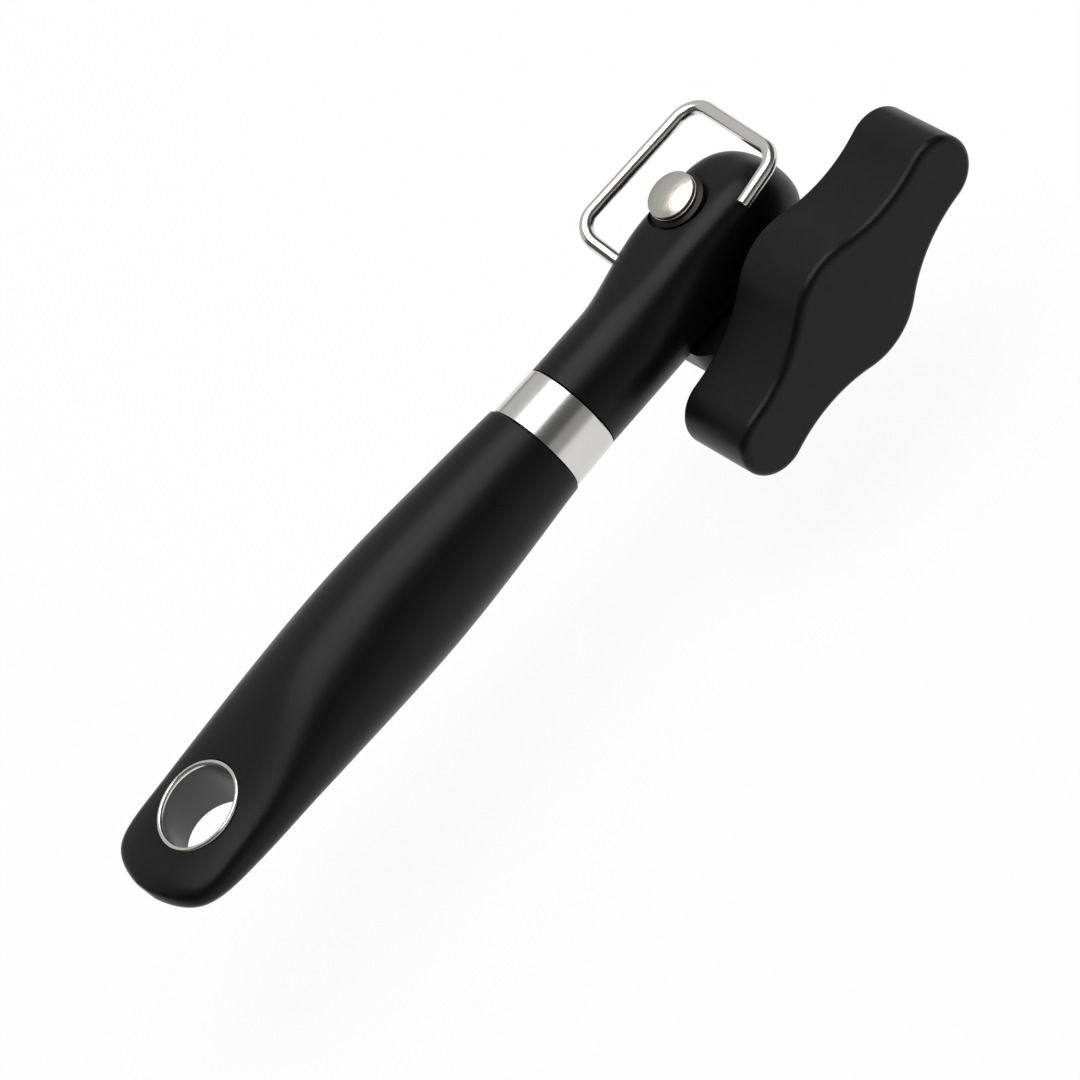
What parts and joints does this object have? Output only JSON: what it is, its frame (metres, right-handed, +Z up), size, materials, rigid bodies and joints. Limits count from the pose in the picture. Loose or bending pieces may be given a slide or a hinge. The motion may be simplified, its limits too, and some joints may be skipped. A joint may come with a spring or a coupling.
{
  "type": "manual can opener",
  "caption": "Side-knob manual can opener with a long soft grip, steel ferrule, rounded head, domed cutter wheel, drive gear and a bent wire rest.",
  "frame": {"origin": "centre of the hang hole, on the handle's centre plane", "axes": "+X along the handle towards the head, +Y away from the knob, +Z up through the hang hole on the cutter's side"},
  "size_m": [0.2199, 0.0601, 0.039],
  "materials": {
    "soft_black": "soft satin",
    "black_plastic": "fine satin",
    "grey_plastic": "smooth satin",
    "polished_steel": "polished",
    "brushed_steel": "brushed round the sleeve",
    "satin_steel": "satin, slightly warm",
    "plain_steel": "plain milled",
    "dark_steel": "blackened",
    "bronze": "plain turned"
  },
  "bodies": {
    "opener": {"handle_grip": "soft_black", "handle_core": "grey_plastic", "hang_ring": "polished_steel", "tang_rivets": "plain_steel", "chassis_plate": "plain_steel", "ferrule": "brushed_steel", "head_upper_shell": "black_plastic", "head_gear_case": "black_plastic", "case_screws": "plain_steel", "wire_bow": "polished_steel", "bush_gear_side": "black_plastic", "bush_knob_side": "black_plastic", "cutter_rivet": "satin_steel", "rivet_washer": "plain_steel", "cutter_washer": "satin_steel"},
    "carrier": {"eccentric_carrier": "plain_steel"},
    "drive": {"drive_axle": "dark_steel", "drive_gear": "plain_steel", "gear_spacer": "plain_steel", "gear_washer": "plain_steel", "gear_nut": "plain_steel", "thrust_washer": "grey_plastic", "knob_hub": "black_plastic", "knob_pin": "dark_steel", "knob_shell": "black_plastic", "knob_cover": "black_plastic"},
    "cutter": {"cutter_wheel": "dark_steel", "cutter_sleeve": "bronze"}
  },
  "joints": [
    {"name": "carrier_turn", "type": "hinge", "parent": "opener", "child": "carrier", "pos_m": [0.16068, 0, -0.00523], "axis": [0, -1, 0], "range_deg": [0, 80]},
    {"name": "knob_turn", "type": "hinge", "parent": "carrier", "child": "drive", "pos_m": [0.1616, 0, -0.006], "axis": [0, -1, 0], "continuous": true},
    {"name": "cutter_spin", "type": "hinge", "parent": "opener", "child": "cutter", "pos_m": [0.1572, 0.0028, 0.01215], "axis": [-0.1392, 0, 0.9903], "continuous": true}
  ]
}
